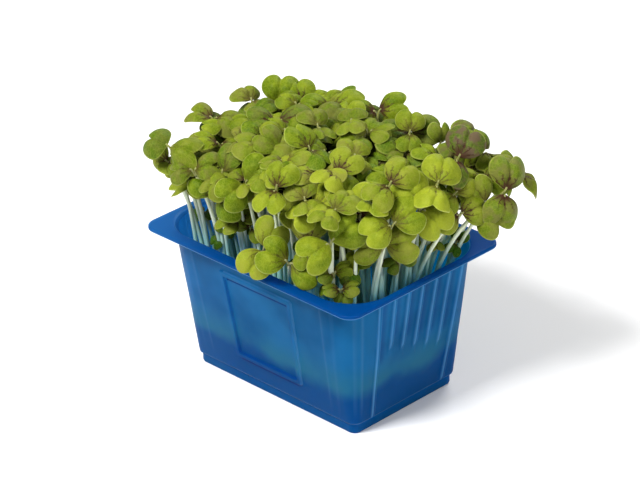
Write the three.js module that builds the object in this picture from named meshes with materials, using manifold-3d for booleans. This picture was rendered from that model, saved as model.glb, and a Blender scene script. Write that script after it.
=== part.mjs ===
// A tub of microgreens: a thin moulded tray, a growing pad on its floor, and clumps of mustard
// seedlings whose root plugs stand in blind holes in the pad. Millimetres, +Z up. The origin is
// the centre of the tray's foot, X runs along the tray's long side and -Y is its front.
import * as THREE from 'three';
import Module from 'manifold-3d';

const wasm = await Module();
wasm.setup();

// --- Driving dimensions ---------------------------------------------------------------------

// Tray: a rim with wide ears at the corners, over walls that taper down to a stepped foot.
const RIM = { halfX: 49, halfY: 35.75, corner: 5 };
const MOUTH = { halfX: 46.3, halfY: 31.3, corner: 14.5 };
const WALL_TOP = { halfX: 46.9, halfY: 31.8, corner: 16.5 };
const WALL_FOOT = { halfX: 38.1, halfY: 24.5, corner: 3.4 };
const FOOT = { halfX: 37.2, halfY: 23.6, corner: 2.8 };
const TRAY_HEIGHT = 53;
const LEDGE_HEIGHT = 4.2;
const SHEET = 0.9;
const RIM_SHEET = 1;
const RIM_ROUND = 0.3;
const LIP_DROP = 1.4;
const LIP_THICKNESS = 0.7;
const FOOT_ROUND = 0.5;
const LEDGE_SLOPE = 0.4;
const SMALLEST_CORNER = 0.8;
const CORNER_STEPS = 6;

// Upright ribs on the two short walls.
const RIB_COUNT = 7;
const RIB_PITCH = 6.4;
const RIB_WIDTH = 2.1;
const RIB_PROUD = 0.8;
const RIB_TOP = 50.6;
const FIRST_RIB_END = 31;
const RIB_END_STEP = 2;
const OUTER_RIB_END = 4.9;
const RIB_FAN = 0.86;

// Raised frame on the two long walls.
const FRAME_BOTTOM = 12.4;
const FRAME_TOP = 44.6;
const FRAME_HALF_BOTTOM = 14.5;
const FRAME_HALF_TOP = 15.8;
const FRAME_WIDTH = 2;
const FRAME_PROUD = 0.6;

// Growing pad: fills the floor of the tray with a small clearance.
const PAD_BOTTOM = 1.2;
const PAD_TOP = 17;
const PAD_CLEARANCE = 0.5;

// Clumps: a grid of root plugs, each a little out of line, with up to two seedlings each.
const ROWS = 6;
const COLUMNS = 8;
const COLUMN_PITCH = 9.3;
const ROW_PITCH = 8;
const ROOT_JITTER = 0.9;
const PLUG_RADIUS = 1.9;
const PLUG_GAP = 0.45;
const PLUG_BOTTOM = 9.5;
const PLUG_SIDES = 6;
const STEM_SPACING = 0.7;
const STEM_BASE = 12;
const STEM_UPRIGHT = 0.3;
const STEM_BEND = 0.7;
const STEM_REACH = 0.22;

// A stem's thickness: its radius at shares of its length from the root.
const STEM_RINGS = [[0, 0.95], [0.36, 0.9], [0.72, 0.8], [1, 0.36]];

// Seed leaves: two broad round lobes with a notch between them, on a short stalk. A lobe's edge
// runs from its outer side round its tip to the notch, at these angles from the leaf's midrib.
const LOBE_RADIUS = 3.9;
const LOBE_OFFSET = 2.4;
const LOBE_CENTRE = 6.3;
const LOBE_ANGLES = [128, 57, -14];
const NOTCH_DEPTH = 3.1;
const LEAF_THICKNESS = 0.7;
const STALK_HALF = 0.7;
const LEAF_DROOP = 0.8;
const SECOND_LEAF = 0.9;
const LEAF_LIFT = 0.24;

// Room that seedlings keep from each other, and how closely that is looked at.
const LOBE_ROOM = 0.6;
const LEAF_ROOM = 1.2;
const STEM_ROOM = 1.3;
const CLOSE_HEADS = 46;
const STEM_SAMPLES = 10;
const TRIES = 240;

// Where the seedlings inside the crowd reach: how far they fan out, how tall they stand, and how
// their leaves lie. Most face the light, and those near the edge on its side lean outwards.
const FAN_X = 1.16;
const FAN_Y = 1.28;
const HEAD_JITTER = 4;
const HEAD_TOP = 94.5;
const HEAD_DROP = 22;
const EDGE_DROP = 9;
const LIGHT_BEARING = -44;
const LIGHT_SWING = 90;
const EDGE_REACH = 0.75;
const EDGE_SWING = 40;
const LEAST_TILT = 4;
const MOST_TILT = 28;
const EDGE_TILT = 14;
const LEAST_SIZE = 0.86;
const MOST_SIZE = 1.1;
const SMALLER = 0.25;

// Repeatable random numbers, so that the planting is the same each time.
const SEED = 20492;
const DRAW_FACTOR = 1664525;
const DRAW_STEP = 1013904223;
const DRAW_RANGE = 2 ** 32;

// Seedlings at the edge of the crowd, by their clump's row and column: head position, bearing and
// tilt of the leaf pair's face, its turn in degrees, and its size.
const EDGE_SEEDLINGS = {
  '0,0': [[-37, -32, 85, -80, 40, 0, 1.05], [-42, -29, 76.5, -95, 62, 0, 0.75]],
  '0,1': [[-26, -32, 80, -70, 40, 20, 0.85], [-18, -29, 73, -60, 55, -30, 1.05]],
  '0,2': [[-17, -28, 80, -90, 45, 90, 1], [-14, -24, 62, -40, 20, 30, 0.75]],
  '0,3': [[-6, -28, 80, -50, 60, 40, 1.05], [8, -34, 63, -50, 62, 60, 1.05]],
  '0,4': [[13, -32, 86, -60, 35, 80, 0.95], [19, -33, 62, -50, 60, -25, 1.1]],
  '0,5': [[23, -28, 68, -65, 62, 100, 0.95], [23, -25, 80, -60, 30, 50, 0.95]],
  '0,6': [[34, -29, 73, -44, 55, 35, 1.15], [25, -16, 90, -20, 25, 30, 0.95]],
  '0,7': [[36, -18, 78, -55, 60, 60, 1.05], [35, -26, 55, -40, 20, 0, 0.6]],
  '1,7': [[47, -14, 78, -35, 50, 20, 1.05], [43, -14, 69, -45, 68, 5, 1.05]],
  '2,7': [[49, -2, 80, -40, 65, 125, 1.1], [42, -10, 89, -35, 35, 40, 1]],
  '3,7': [[51, 3, 87, -20, 35, 55, 1.05], [53, 11, 74, -30, 55, 10, 0.9]],
  '4,7': [[56, 20, 75, -45, 60, -60, 1.05], [46, 18, 89, -40, 40, 60, 1.05]],
  '5,7': [[61, 24, 79.5, -25, 65, 70, 1.1], [53, 34, 79.5, 30, 75, 20, 0.8]],
  '5,6': [[44, 33, 85.5, 20, 35, 60, 0.9], [35.5, 31.5, 85.5, 0, 45, 20, 1]],
  '5,5': [[18, 25, 87, -40, 35, 0, 1], [30, 27, 85.5, 0, 60, 70, 0.7]],
  '5,4': [[0, 28, 88, -60, 40, 20, 1], [9, 23, 84, 75, 20, 85, 0.95]],
};

// --- Solids ---------------------------------------------------------------------------------

function solidOf(positions, faces) {
  const mesh = new wasm.Mesh({
    numProp: 3,
    vertProperties: new Float32Array(positions.flatMap((p) => [p.x, p.y, p.z])),
    triVerts: new Uint32Array(faces.flat()),
  });
  return new wasm.Manifold(mesh);
}

function geometryOf(solid) {
  const mesh = solid.getMesh();
  const geometry = new THREE.BufferGeometry();
  geometry.setAttribute('position', new THREE.BufferAttribute(mesh.vertProperties, 3));
  geometry.setIndex(new THREE.BufferAttribute(mesh.triVerts, 1));
  geometry.computeVertexNormals();
  return geometry;
}

// A closed solid through rings of equal point counts, with a flat cap on the first and the last.
function loft(rings) {
  const count = rings[0].length;
  const positions = rings.flat();
  const faces = [];
  for (let r = 0; r < rings.length - 1; r += 1) {
    for (let i = 0; i < count; i += 1) {
      const a = r * count + i;
      const b = r * count + ((i + 1) % count);
      faces.push([a, b, b + count], [a, b + count, a + count]);
    }
  }
  const last = (rings.length - 1) * count;
  for (let i = 1; i < count - 1; i += 1) {
    faces.push([0, i + 1, i]);
    faces.push([last, last + i, last + i + 1]);
  }
  return solidOf(positions, faces);
}

function prism(sides, radius, x, y, bottom, top) {
  const ring = (z) => Array.from({ length: sides }, (_, i) => {
    const angle = (i / sides) * 2 * Math.PI;
    return new THREE.Vector3(x + radius * Math.cos(angle), y + radius * Math.sin(angle), z);
  });
  return loft([ring(bottom), ring(top)]);
}

// --- Tray -----------------------------------------------------------------------------------

function roundedOutline({ halfX, halfY, corner }, z) {
  const points = [];
  const centres = [[1, 1], [-1, 1], [-1, -1], [1, -1]];
  centres.forEach(([sx, sy], quarter) => {
    for (let step = 0; step <= CORNER_STEPS; step += 1) {
      const angle = (quarter + step / CORNER_STEPS) * (Math.PI / 2);
      points.push(new THREE.Vector3(
        sx * (halfX - corner) + corner * Math.cos(angle),
        sy * (halfY - corner) + corner * Math.sin(angle),
        z,
      ));
    }
  });
  return points;
}

function inset({ halfX, halfY, corner }, by) {
  return { halfX: halfX - by, halfY: halfY - by, corner: Math.max(corner - by, SMALLEST_CORNER) };
}

// The wall's outline at a height between the ledge and the underside of the rim.
function wallOutline(z) {
  const share = (z - LEDGE_HEIGHT) / (TRAY_HEIGHT - RIM_SHEET - LEDGE_HEIGHT);
  const mix = (key) => WALL_FOOT[key] + (WALL_TOP[key] - WALL_FOOT[key]) * share;
  return { halfX: mix('halfX'), halfY: mix('halfY'), corner: mix('corner') };
}

// How far a point on the short wall is past the start of the rounded corner.
function pastStraight(y, z) {
  const { halfY, corner } = wallOutline(z);
  return Math.max(Math.abs(y) - (halfY - corner), 0);
}

// A point on the short wall's outside, which curves away towards the corners.
function shortWallPoint(side, y, z) {
  const { halfX, corner } = wallOutline(z);
  const x = halfX - corner + Math.sqrt(corner ** 2 - pastStraight(y, z) ** 2);
  return new THREE.Vector3(side * x, y, z);
}

function shortWallNormal(side, y, z) {
  const turn = Math.asin(pastStraight(y, z) / wallOutline(z).corner);
  return new THREE.Vector3(side * Math.cos(turn), Math.sign(y) * Math.sin(turn), 0);
}

// A point on the long wall's flat outside.
function longWallPoint(side, x, z) {
  return new THREE.Vector3(x, side * wallOutline(z).halfY, z);
}

// A straight bar with sloping flanks and ends, laid on a wall and sunk a little into it.
function bar(from, to, outward, width, proud) {
  const along = to.clone().sub(from).normalize();
  const out = outward.clone().addScaledVector(along, -outward.dot(along)).normalize();
  const across = new THREE.Vector3().crossVectors(along, out);
  const ring = (height, half, shorten) => [[-1, -1], [1, -1], [1, 1], [-1, 1]].map(([s, e]) => (
    (e < 0 ? from : to).clone()
      .addScaledVector(along, -e * shorten)
      .addScaledVector(across, s * half)
      .addScaledVector(out, height)
  ));
  const sunk = SHEET / 2;
  const flank = width / 4;
  return loft([ring(-sunk, width / 2, 0), ring(proud, width / 2 - flank, flank)]);
}

function trayShell() {
  const underRim = TRAY_HEIGHT - RIM_SHEET;
  const lipEdge = TRAY_HEIGHT - LIP_DROP;
  const innerLedge = LEDGE_HEIGHT + LEDGE_SLOPE;
  return loft([
    roundedOutline(inset(FOOT, FOOT_ROUND), 0),
    roundedOutline(FOOT, FOOT_ROUND),
    roundedOutline(FOOT, LEDGE_HEIGHT - LEDGE_SLOPE),
    roundedOutline(WALL_FOOT, LEDGE_HEIGHT),
    roundedOutline(wallOutline(underRim), underRim),
    roundedOutline(inset(RIM, LIP_THICKNESS), underRim),
    roundedOutline(inset(RIM, LIP_THICKNESS), lipEdge),
    roundedOutline(RIM, lipEdge),
    roundedOutline(RIM, TRAY_HEIGHT - RIM_ROUND),
    roundedOutline(inset(RIM, RIM_ROUND), TRAY_HEIGHT),
    roundedOutline(MOUTH, TRAY_HEIGHT),
    roundedOutline(inset(wallOutline(underRim), SHEET), underRim),
    roundedOutline(inset(WALL_FOOT, SHEET), innerLedge),
    roundedOutline(inset(FOOT, SHEET), innerLedge - LEDGE_SLOPE),
    roundedOutline(inset(FOOT, SHEET), SHEET),
  ]);
}

function ribs(side) {
  const middle = (RIB_COUNT - 1) / 2;
  return Array.from({ length: RIB_COUNT }, (_, i) => {
    const y = side * (i - middle) * RIB_PITCH;
    const isEnd = i === 0 || i === RIB_COUNT - 1;
    const low = isEnd ? OUTER_RIB_END : FIRST_RIB_END - RIB_END_STEP * (i - 1);
    const share = (RIB_TOP - low) / (RIB_TOP - OUTER_RIB_END);
    const lowY = y * (1 - share * (1 - RIB_FAN));
    const outward = shortWallNormal(side, y, RIB_TOP).add(shortWallNormal(side, lowY, low));
    return bar(
      shortWallPoint(side, lowY, low),
      shortWallPoint(side, y, RIB_TOP),
      outward,
      RIB_WIDTH,
      RIB_PROUD,
    );
  });
}

function wallFrame(side) {
  const outward = new THREE.Vector3(0, side, 0);
  const corners = [
    longWallPoint(side, -FRAME_HALF_BOTTOM, FRAME_BOTTOM),
    longWallPoint(side, FRAME_HALF_BOTTOM, FRAME_BOTTOM),
    longWallPoint(side, FRAME_HALF_TOP, FRAME_TOP),
    longWallPoint(side, -FRAME_HALF_TOP, FRAME_TOP),
  ];
  return corners.map((from, i) => {
    const to = corners[(i + 1) % corners.length];
    const overrun = to.clone().sub(from).setLength(FRAME_WIDTH / 2);
    return bar(from.clone().sub(overrun), to.clone().add(overrun), outward, FRAME_WIDTH, FRAME_PROUD);
  });
}

function tray() {
  const details = [...ribs(1), ...ribs(-1), ...wallFrame(1), ...wallFrame(-1)];
  return details.reduce((solid, detail) => solid.add(detail), trayShell());
}

// --- Seedlings ------------------------------------------------------------------------------

let drawn = SEED;

function draw() {
  drawn = (Math.imul(drawn, DRAW_FACTOR) + DRAW_STEP) >>> 0;
  return drawn / DRAW_RANGE;
}

function between(low, high) {
  return low + (high - low) * draw();
}

const radians = (degrees) => (degrees * Math.PI) / 180;

// A leaf pair's two leaves and its stem, from the head's position, the bearing and tilt of the
// pair's face, its turn about that face, and its size.
function seedling(root, [x, y, z, bearing, tilt, turn, size]) {
  const face = radians(bearing);
  const tip = radians(tilt);
  const spin = radians(turn);
  const normal = new THREE.Vector3(
    Math.sin(tip) * Math.cos(face),
    Math.sin(tip) * Math.sin(face),
    Math.cos(tip),
  );
  const level = new THREE.Vector3(-Math.sin(face), Math.cos(face), 0);
  const slope = new THREE.Vector3().crossVectors(normal, level);
  const spread = level.multiplyScalar(Math.cos(spin)).addScaledVector(slope, Math.sin(spin));
  const head = new THREE.Vector3(x, y, z);
  const leaves = [1, -1].map((way) => {
    const along = spread.clone().multiplyScalar(way * Math.cos(LEAF_LIFT))
      .addScaledVector(normal, Math.sin(LEAF_LIFT));
    const side = new THREE.Vector3().crossVectors(normal, spread).multiplyScalar(way);
    const up = new THREE.Vector3().crossVectors(along, side);
    return { head, along, side, up, size: way > 0 ? size : size * SECOND_LEAF };
  });
  const above = (rise, reach) => new THREE.Vector3(
    root.x + (x - root.x) * reach,
    root.y + (y - root.y) * reach,
    root.z + (z - root.z) * rise,
  );
  const stem = new THREE.CubicBezierCurve3(
    root,
    above(STEM_UPRIGHT, 0),
    above(STEM_BEND, STEM_REACH),
    head,
  );
  return { head, normal, leaves, stem };
}

function leafPoint({ head, along, side, up, size }, a, s, h) {
  return head.clone()
    .addScaledVector(along, a * size)
    .addScaledVector(side, s * size)
    .addScaledVector(up, h);
}

// --- Room among the leaves ------------------------------------------------------------------

function lobes({ leaves }) {
  return leaves.flatMap((leaf) => [-LOBE_OFFSET, LOBE_OFFSET].map((s) => ({
    centre: leafPoint(leaf, LOBE_CENTRE, s, 0),
    normal: leaf.up,
    radius: LOBE_RADIUS * leaf.size,
  })));
}

// Two lobes cross unless they are apart, or one lies wholly on one side of the other.
function lobesCross(a, b) {
  const gap = b.centre.clone().sub(a.centre);
  if (gap.length() > a.radius + b.radius + LOBE_ROOM) {
    return false;
  }
  const cosine = a.normal.dot(b.normal);
  const slant = Math.sqrt(Math.max(1 - cosine * cosine, 0));
  return Math.abs(gap.dot(a.normal)) < b.radius * slant + LEAF_ROOM
    && Math.abs(gap.dot(b.normal)) < a.radius * slant + LEAF_ROOM;
}

function stemPoints({ stem }) {
  return stem.getPoints(STEM_SAMPLES);
}

function stemCrosses(points, lobe) {
  for (let i = 1; i < points.length; i += 1) {
    const low = points[i - 1].clone().sub(lobe.centre);
    const high = points[i].clone().sub(lobe.centre);
    const lowHeight = low.dot(lobe.normal);
    const highHeight = high.dot(lobe.normal);
    if (lowHeight * highHeight < 0) {
      const share = lowHeight / (lowHeight - highHeight);
      if (low.lerp(high, share).length() < lobe.radius + STEM_ROOM) {
        return true;
      }
    }
  }
  return false;
}

function crosses(a, b) {
  if (a.head.distanceTo(b.head) > CLOSE_HEADS) {
    return false;
  }
  return a.lobes.some((lobe) => b.lobes.some((other) => lobesCross(lobe, other)))
    || a.lobes.some((lobe) => stemCrosses(b.points, lobe))
    || b.lobes.some((lobe) => stemCrosses(a.points, lobe));
}

// Leaves that reach out past the mouth stay above the rim.
function clearsTray({ lobes: all }) {
  return all.every(({ centre, normal, radius }) => {
    const low = centre.z - radius * Math.sqrt(1 - normal.z * normal.z);
    const inside = Math.abs(centre.x) + radius < WALL_FOOT.halfX
      && Math.abs(centre.y) + radius < WALL_FOOT.halfY;
    return inside || low > TRAY_HEIGHT + LEAF_ROOM;
  });
}

function withRoom(plant) {
  return { ...plant, lobes: lobes(plant), points: stemPoints(plant) };
}

// --- Seedlings as solids --------------------------------------------------------------------

// One leaf's edge from the stalk round both lobes, in the leaf's own along and side directions.
function leafEdge() {
  const lobe = LOBE_ANGLES.map(radians).map((angle) => [
    LOBE_CENTRE + LOBE_RADIUS * Math.cos(angle),
    LOBE_OFFSET + LOBE_RADIUS * Math.sin(angle),
  ]);
  const notch = [LOBE_CENTRE + LOBE_RADIUS - NOTCH_DEPTH, 0];
  return [...lobe.map(([a, s]) => [a, -s]), notch, ...lobe.reverse()];
}

// Both leaves as one thin slab: they share the short edge where their stalks meet the stem.
function leafPair({ head, normal, leaves }) {
  const half = LEAF_THICKNESS / 2;
  const droop = (leaf, s) => -LEAF_DROOP * leaf.size * (s / (LOBE_OFFSET + LOBE_RADIUS)) ** 2;
  const edge = leafEdge();
  const shared = [-1, 1].map((s) => head.clone().addScaledVector(leaves[0].side, s * STALK_HALF));
  const outline = [
    shared[0],
    ...edge.map(([a, s]) => leafPoint(leaves[0], a, s, droop(leaves[0], s))),
    shared[1],
    ...edge.map(([a, s]) => leafPoint(leaves[1], a, s, droop(leaves[1], s))),
  ];
  const count = outline.length;
  const span = edge.length + 1;
  const middles = leaves.map((leaf) => leafPoint(leaf, LOBE_CENTRE, 0, 0));
  const ups = outline.map((_, i) => (i % span === 0 ? normal : leaves[Math.floor(i / span)].up));
  const layer = (h) => [
    ...outline.map((p, i) => p.clone().addScaledVector(ups[i], h)),
    ...middles.map((p, i) => p.clone().addScaledVector(leaves[i].up, h)),
  ];
  const positions = [...layer(half), ...layer(-half)];
  const below = count + 2;
  const faces = [];
  const addFan = (ring, middle) => ring.forEach((point, i) => {
    const next = ring[(i + 1) % ring.length];
    faces.push([point, next, middle], [below + next, below + point, below + middle]);
  });
  const firstRing = Array.from({ length: span + 1 }, (_, i) => i);
  const secondRing = Array.from({ length: span + 1 }, (_, i) => (span + i) % count);
  addFan(firstRing, count);
  addFan(secondRing, count + 1);
  for (let i = 0; i < count; i += 1) {
    const next = (i + 1) % count;
    faces.push([i, below + i, below + next], [i, below + next, next]);
  }
  return solidOf(positions, faces);
}

function stemSolid({ stem }) {
  const rings = STEM_RINGS.map(([t, radius]) => {
    const point = stem.getPoint(t);
    const tangent = stem.getTangent(t);
    const a = new THREE.Vector3().crossVectors(tangent, new THREE.Vector3(0, 1, 0)).normalize();
    const b = new THREE.Vector3().crossVectors(tangent, a);
    return [[1, 0], [0, 1], [-1, 0], [0, -1]].map(([i, j]) => point.clone()
      .addScaledVector(a, i * radius)
      .addScaledVector(b, j * radius));
  });
  return loft(rings);
}

// --- Assembly -------------------------------------------------------------------------------

const MATERIALS = {
  tray: new THREE.MeshStandardMaterial({ color: 0x1f5fae, roughness: 0.3, metalness: 0 }),
  pad: new THREE.MeshStandardMaterial({ color: 0x4a3b28, roughness: 0.95, metalness: 0 }),
  greens: new THREE.MeshStandardMaterial({ color: 0x9fae45, roughness: 0.6, metalness: 0 }),
};

function named(name, solid, material) {
  const mesh = new THREE.Mesh(geometryOf(solid), material);
  mesh.name = name;
  return mesh;
}

// A head drawn at random above a clump; the more it wanders, the further it may stray.
function ruledHead({ x: rootX, y: rootY }, wander) {
  const jitter = HEAD_JITTER * (1 + wander);
  const x = rootX * FAN_X + between(-jitter, jitter);
  const y = rootY * FAN_Y + between(-jitter, jitter);
  const reach = Math.hypot(rootX / WALL_FOOT.halfX, rootY / WALL_FOOT.halfY);
  const z = HEAD_TOP - between(0, HEAD_DROP * (1 + wander)) - EDGE_DROP * reach * reach;
  const outward = (Math.atan2(rootY, rootX) * 180) / Math.PI;
  const onLightSide = Math.cos(radians(outward - LIGHT_BEARING)) > 0;
  const bearing = reach > EDGE_REACH && onLightSide
    ? outward + between(-EDGE_SWING, EDGE_SWING)
    : LIGHT_BEARING + between(-LIGHT_SWING, LIGHT_SWING);
  const tilt = between(LEAST_TILT, MOST_TILT) + (onLightSide ? EDGE_TILT * reach : 0);
  const turn = between(0, 180);
  return [x, y, z, bearing, tilt, turn, between(LEAST_SIZE, MOST_SIZE) * (1 - SMALLER * wander)];
}

const clumps = [];
for (let row = 0; row < ROWS; row += 1) {
  for (let column = 0; column < COLUMNS; column += 1) {
    clumps.push({
      x: (column - (COLUMNS - 1) / 2) * COLUMN_PITCH + between(-ROOT_JITTER, ROOT_JITTER),
      y: (row - (ROWS - 1) / 2) * ROW_PITCH + between(-ROOT_JITTER, ROOT_JITTER),
      heads: EDGE_SEEDLINGS[`${row},${column}`],
      seedlings: [],
    });
  }
}

function rootOf(clump, way) {
  return new THREE.Vector3(clump.x + way * STEM_SPACING, clump.y, STEM_BASE);
}

const grown = [];
clumps.filter((clump) => clump.heads).forEach((clump) => {
  const ways = clump.heads[0][0] < clump.heads[1][0] ? [-1, 1] : [1, -1];
  clump.heads.forEach((head, i) => {
    clump.seedlings.push(withRoom(seedling(rootOf(clump, ways[i]), head)));
  });
  grown.push(...clump.seedlings);
});

// The others are placed one by one, each where it crosses nothing that already stands; a clump
// that has no room left for a second seedling keeps to one.
[-1, 1].forEach((way) => {
  clumps.filter((clump) => !clump.heads).forEach((clump) => {
    for (let i = 0, found = false; i < TRIES && !found; i += 1) {
      const plant = withRoom(seedling(rootOf(clump, way), ruledHead(clump, i / TRIES)));
      found = clearsTray(plant) && !grown.some((other) => crosses(plant, other));
      if (found) {
        clump.seedlings.push(plant);
        grown.push(plant);
      }
    }
  });
});

function clumpSolid({ x, y, seedlings }) {
  const plug = prism(PLUG_SIDES, PLUG_RADIUS, x, y, PLUG_BOTTOM, PAD_TOP);
  return seedlings.reduce(
    (solid, plant) => solid.add(stemSolid(plant)).add(leafPair(plant)),
    plug,
  );
}

function growingPad() {
  const lower = inset(inset(FOOT, SHEET), PAD_CLEARANCE);
  const atLedge = inset(inset(WALL_FOOT, SHEET), PAD_CLEARANCE);
  const upper = inset(inset(wallOutline(PAD_TOP), SHEET), PAD_CLEARANCE);
  const block = loft([
    roundedOutline(lower, PAD_BOTTOM),
    roundedOutline(lower, LEDGE_HEIGHT + SHEET),
    roundedOutline(atLedge, LEDGE_HEIGHT + 2 * SHEET),
    roundedOutline(upper, PAD_TOP),
  ]);
  const hole = PLUG_RADIUS + PLUG_GAP;
  return clumps.reduce((pad, { x, y }) => pad.subtract(
    prism(PLUG_SIDES, hole, x, y, PLUG_BOTTOM - PLUG_GAP, PAD_TOP + 1),
  ), block);
}

const microgreensTray = new THREE.Group();
microgreensTray.add(named('tray', tray(), MATERIALS.tray));
microgreensTray.add(named('growing_pad', growingPad(), MATERIALS.pad));
clumps.forEach((clump, i) => {
  const number = String(i + 1).padStart(2, '0');
  microgreensTray.add(named(`clump_${number}`, clumpSolid(clump), MATERIALS.greens));
});

export default microgreensTray;
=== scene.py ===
import math
import random

import bpy
import numpy as np
from mathutils import Euler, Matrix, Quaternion, Vector


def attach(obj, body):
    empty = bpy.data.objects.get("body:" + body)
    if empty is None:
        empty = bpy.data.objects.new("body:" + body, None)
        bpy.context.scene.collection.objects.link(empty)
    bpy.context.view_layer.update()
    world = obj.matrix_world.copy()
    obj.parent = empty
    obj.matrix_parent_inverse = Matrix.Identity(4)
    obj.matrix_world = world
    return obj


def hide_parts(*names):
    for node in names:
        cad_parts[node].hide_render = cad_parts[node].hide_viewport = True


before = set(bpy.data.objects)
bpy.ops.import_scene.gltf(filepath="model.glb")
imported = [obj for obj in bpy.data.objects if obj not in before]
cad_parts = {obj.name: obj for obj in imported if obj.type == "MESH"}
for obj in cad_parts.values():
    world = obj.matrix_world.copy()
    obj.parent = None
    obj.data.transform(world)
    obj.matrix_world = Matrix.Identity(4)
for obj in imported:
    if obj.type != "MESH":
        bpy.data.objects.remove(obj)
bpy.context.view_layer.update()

MM = 0.001


# --- Table, lights and camera ------------------------------------------------------------------
# A plain pale table top under a wide soft lamp, with weaker ones beside and behind, as a small
# tabletop studio is set up. None of it is part of the tray.


def put_in_scene(name, data):
    thing = bpy.data.objects.new(name, data)
    bpy.context.scene.collection.objects.link(thing)
    return thing


table_half = 3.0
table_mesh = bpy.data.meshes.new("table_top")
table_mesh.from_pydata(
    [(-table_half, -table_half, 0), (table_half, -table_half, 0),
     (table_half, table_half, 0), (-table_half, table_half, 0)],
    [], [(0, 1, 2, 3)])
table_top = put_in_scene("table_top", table_mesh)
table_paint = bpy.data.materials.new("pale_table")
table_paint.use_nodes = True
paint = table_paint.node_tree.nodes["Principled BSDF"].inputs
paint["Base Color"].default_value = (0.86, 0.86, 0.86, 1)
paint["Roughness"].default_value = 0.9
table_mesh.materials.append(table_paint)

sky = bpy.data.worlds.new("studio_air")
bpy.context.scene.world = sky
sky.use_nodes = True
air = sky.node_tree.nodes["Background"].inputs
air["Color"].default_value = (1.0, 1.0, 1.0, 1)
air["Strength"].default_value = 0.29


def soft_lamp(name, place, aim, width, power):
    lamp = bpy.data.lights.new(name, "AREA")
    lamp.shape = "RECTANGLE"
    lamp.size = width
    lamp.size_y = width * 0.7
    lamp.energy = power
    holder = put_in_scene(name, lamp)
    holder.location = place
    holder.rotation_euler = (Vector(aim) - Vector(place)).to_track_quat("-Z", "Y").to_euler()


plant_middle = (0.0, 0.0, 0.06)
soft_lamp("main_lamp", (-0.1, -0.75, 1.05), plant_middle, 0.5, 23.2)
soft_lamp("side_lamp", (0.95, -0.15, 0.55), plant_middle, 0.5, 5.0)
soft_lamp("back_lamp", (-0.3, 0.9, 0.8), plant_middle, 0.6, 8.0)

camera_azimuth = math.radians(45.93)
camera_elevation = math.radians(27.76)
camera_roll = math.radians(1.95)
camera_distance = 1063.68 * MM
camera_lens_mm = 178.5
camera_aim = Vector((0, 0, 30 * MM))
camera_slide = (-0.339 * MM, 17.869 * MM)

# The camera slides level and upwards before it is rolled, so the tray stays where it is framed.
camera = put_in_scene("camera", bpy.data.cameras.new("camera"))
camera.data.lens = camera_lens_mm
camera.data.sensor_width = 36.0
facing = Euler((math.pi / 2 - camera_elevation, 0, camera_azimuth)).to_quaternion()
camera.location = camera_aim + facing @ Vector((*camera_slide, camera_distance))
camera.rotation_mode = "QUATERNION"
camera.rotation_quaternion = facing @ Quaternion((0, 0, 1), -camera_roll)
bpy.context.scene.camera = camera
bpy.context.scene.view_settings.view_transform = "Standard"


# --- Tray --------------------------------------------------------------------------------------
# The tub: one thin sheet of see-through blue plastic, moulded in one piece. Its rim is a flat
# flange with a turned-down lip; ribs stiffen the short walls and a frame stands on the long ones.

rim = (49.0, 35.75, 5.0)
mouth = (46.3, 31.3, 14.5)
wall_top = (46.9, 31.8, 16.5)
wall_foot = (38.1, 24.5, 3.4)
foot = (37.2, 23.6, 2.8)
tray_height = 53.0
ledge_height = 4.2
under_rim = 52.0
sheet = 0.9
lip_drop = 1.4
lip_thickness = 0.7

rib_count = 7
rib_pitch = 6.4
rib_half_width = 0.85
rib_proud = 0.8
rib_top = 50.4
first_rib_end = 31.0
rib_end_step = 2.0
rib_fan = 0.86
flute_depth = 0.45

panel_bottom = 12.4
panel_top = 44.6
panel_half_bottom = 14.5
panel_half_top = 15.8
panel_band = 2.0
panel_proud = 0.75
panel_sunk = 0.12

# Rings of points run round the tray. Each ring starts on the short wall, and its points are
# closest together where a rib or a side of the frame has to be crisp.
short_wall_span = 21.0
long_wall_span = 20.0
rib_lines = (np.arange(rib_count) - (rib_count - 1) / 2) * rib_pitch
half_across_rib = np.array([0.3, 0.5, 0.65, 0.8, 0.95, 1.15, 1.5])
across_rib = np.concatenate([-half_across_rib, [0], half_across_rib])
between_ribs = np.array([2.1, 2.8, 3.6, 4.3])
across_short = np.sort(np.concatenate([
    (rib_lines[:, None] + across_rib).ravel(), (rib_lines[:-1, None] + between_ribs).ravel(),
    [-short_wall_span, short_wall_span]]))
across_long = np.concatenate([
    np.linspace(long_wall_span, 17.6, 3),
    np.linspace(17.35, 12.6, 20),
    np.linspace(11.5, -11.5, 12),
    np.linspace(-12.6, -17.35, 20),
    np.linspace(-17.6, -long_wall_span, 3)])
corner_points = 40


def inset(outline, by):
    return (outline[0] - by, outline[1] - by, max(outline[2] - by, 0.6))


def wall_outline(z):
    share = (z - ledge_height) / (under_rim - ledge_height)
    return tuple(low + (high - low) * share for low, high in zip(wall_foot, wall_top))


def short_wall_points(outline, ys):
    half_x, half_y, corner = outline
    past = np.clip(np.abs(ys) - (half_y - corner), 0, corner)
    xs = half_x - corner + np.sqrt(corner ** 2 - past ** 2)
    turn = np.arcsin(past / corner) * np.sign(ys)
    return np.stack([xs, ys, np.cos(turn), np.sin(turn)], axis=1)


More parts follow.
